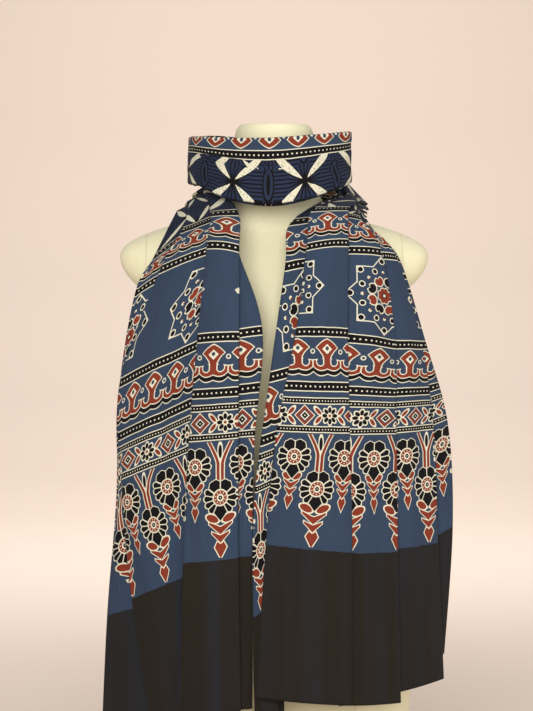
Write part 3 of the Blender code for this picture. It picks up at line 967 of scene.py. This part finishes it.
def slub(scale, detail, stretch):
    """Noise from 0 to 1 on the form, drawn out along the threads."""
    mapping = knit.nodes.new("ShaderNodeMapping")
    mapping.inputs["Scale"].default_value = stretch
    knit.links.new(where_node.outputs["Object"], mapping.inputs["Vector"])
    made = knit.nodes.new("ShaderNodeTexNoise")
    made.inputs["Scale"].default_value = scale
    made.inputs["Detail"].default_value = detail
    knit.links.new(mapping.outputs[0], made.inputs["Vector"])
    return Num(knit, made.outputs["Fac"])


threads = slub(700.0, 2.0, (1, 1, 0.25)) + slub(700.0, 2.0, (0.25, 1, 1))
cloudy = slub(6.0, 4.0, (1, 1, 1))
arm_seam = abs(abs(px) - 172.0) + (634.0 - pz).most(0.0)
panel_seam = abs(abs(px) - 88.0 - abs(pz - 400.0) * 0.06) + (pz - 630.0).most(0.0)
seams = arm_seam.least(panel_seam).inside(1.1, 1.4)
pale = knit.nodes.new("ShaderNodeMix")
pale.data_type = "RGBA"
pale.inputs["A"].default_value = (0.76, 0.69, 0.44, 1)
pale.inputs["B"].default_value = (0.89, 0.84, 0.57, 1)
tint = (threads * 0.5 - 0.5) * 0.9 + cloudy * 0.5 + 0.35 - seams * 0.55
knit.links.new(tint.node("ADD", tint, 0.0, clamp=True).socket, pale.inputs["Factor"])
knit.links.new(pale.outputs["Result"], knit_shader.inputs["Base Color"])
knit_bump = knit.nodes.new("ShaderNodeBump")
knit_bump.inputs["Strength"].default_value = 0.5
knit_bump.inputs["Distance"].default_value = 0.0006
knit.links.new((threads * 0.5 - seams * 1.6).socket, knit_bump.inputs["Height"])
knit.links.new(knit_bump.outputs["Normal"], knit_shader.inputs["Normal"])
knit_shader.inputs["Roughness"].default_value = 0.9
knit_shader.inputs["Specular IOR Level"].default_value = 0.2
knit_shader.inputs["Sheen Weight"].default_value = 0.15
body.data.materials.append(jersey)
print("jersey:", len(knit.nodes), "nodes")

# %% [markdown]
# ## Onto the frame
# Each piece takes the place of one solid of the frame. The stole's flat size is printed.

# %% Pieces and the sheet
for piece, node, slot in ((stole, "stole", "printed_cotton"), (body, "dress_form", "form_cover")):
    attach(piece, "root")
    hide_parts(node)
print("sheet:", CLOTH_WIDTH, "by", round(CLOTH_LENGTH), "mm")

# %% [markdown]
# ## Studio
# A pale floor runs up into a pale wall. One wide soft light stands in front and above, a weaker one fills
# from the right, and the wall gets light of its own so the cream form does not melt into it.

# %% Floor and backdrop in one curved sheet
SWEEP = ((-2.6, 0.0), (3.2, 0.0), (3.9, 0.05), (4.5, 0.24), (4.9, 0.62), (5.08, 1.1), (5.12, 4.4))
sweep_points = np.array([[(x, y, z) for x in (-3.0, 3.0)] for y, z in SWEEP]) / MM
sweep = mesh_from("studio_sweep", sweep_points.reshape(-1, 3), grid_faces(len(SWEEP), 2))
paper = bpy.data.materials.new("pale paper")
paper.use_nodes = True
paper_shader = paper.node_tree.nodes["Principled BSDF"]
paper_shader.inputs["Base Color"].default_value = (0.84, 0.70, 0.60, 1)
paper_shader.inputs["Roughness"].default_value = 0.95
sweep.data.materials.append(paper)
sweep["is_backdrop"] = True

# %% Lights, world and camera
LIGHTS = (
    ("front", (-0.35, -2.6, 1.5), (0.0, 0.0, 0.45), 2.0, 64.0),
    ("right", (2.0, -1.2, 1.1), (0.0, 0.0, 0.45), 1.4, 14.0),
    ("wall", (0.0, 2.4, 2.2), (0.0, 3.5, 0.2), 2.4, 56.0),
)


def aim(obj, place, target):
    """Puts an object at place, with its -Z axis towards target and its Y axis up."""
    obj.location = place
    ahead = mathutils.Vector(target) - mathutils.Vector(place)
    obj.rotation_euler = ahead.to_track_quat("-Z", "Y").to_euler()
    bpy.context.scene.collection.objects.link(obj)


for name, place_at, target, size, power in LIGHTS:
    lamp = bpy.data.lights.new(name, "AREA")
    lamp.size, lamp.energy = size, power
    aim(bpy.data.objects.new(name, lamp), place_at, target)

world = bpy.data.worlds.new("soft room")
world.use_nodes = True
world.node_tree.nodes["Background"].inputs["Color"].default_value = (1.0, 0.97, 0.93, 1)
world.node_tree.nodes["Background"].inputs["Strength"].default_value = 0.35
bpy.context.scene.world = world

CAMERA_AT = (-0.0104, -3.4, 0.698)
CAMERA_PITCH = 2.32
camera_data = bpy.data.cameras.new("camera")
camera_data.sensor_fit = "VERTICAL"
camera_data.sensor_height = 36.0
camera_data.lens = 127.4
camera = bpy.data.objects.new("camera", camera_data)
drop = math.tan(math.radians(CAMERA_PITCH)) * -CAMERA_AT[1]
aim(camera, CAMERA_AT, (CAMERA_AT[0], 0.0, CAMERA_AT[2] - drop))
bpy.context.scene.camera = camera
bpy.context.scene.view_settings.view_transform = "Standard"
print("camera at", CAMERA_AT, "lens", camera_data.lens)

# %% Sizes: the visual box of the scene
low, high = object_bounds()
print("visual box:", [round(v, 3) for v in (*low, *high)])
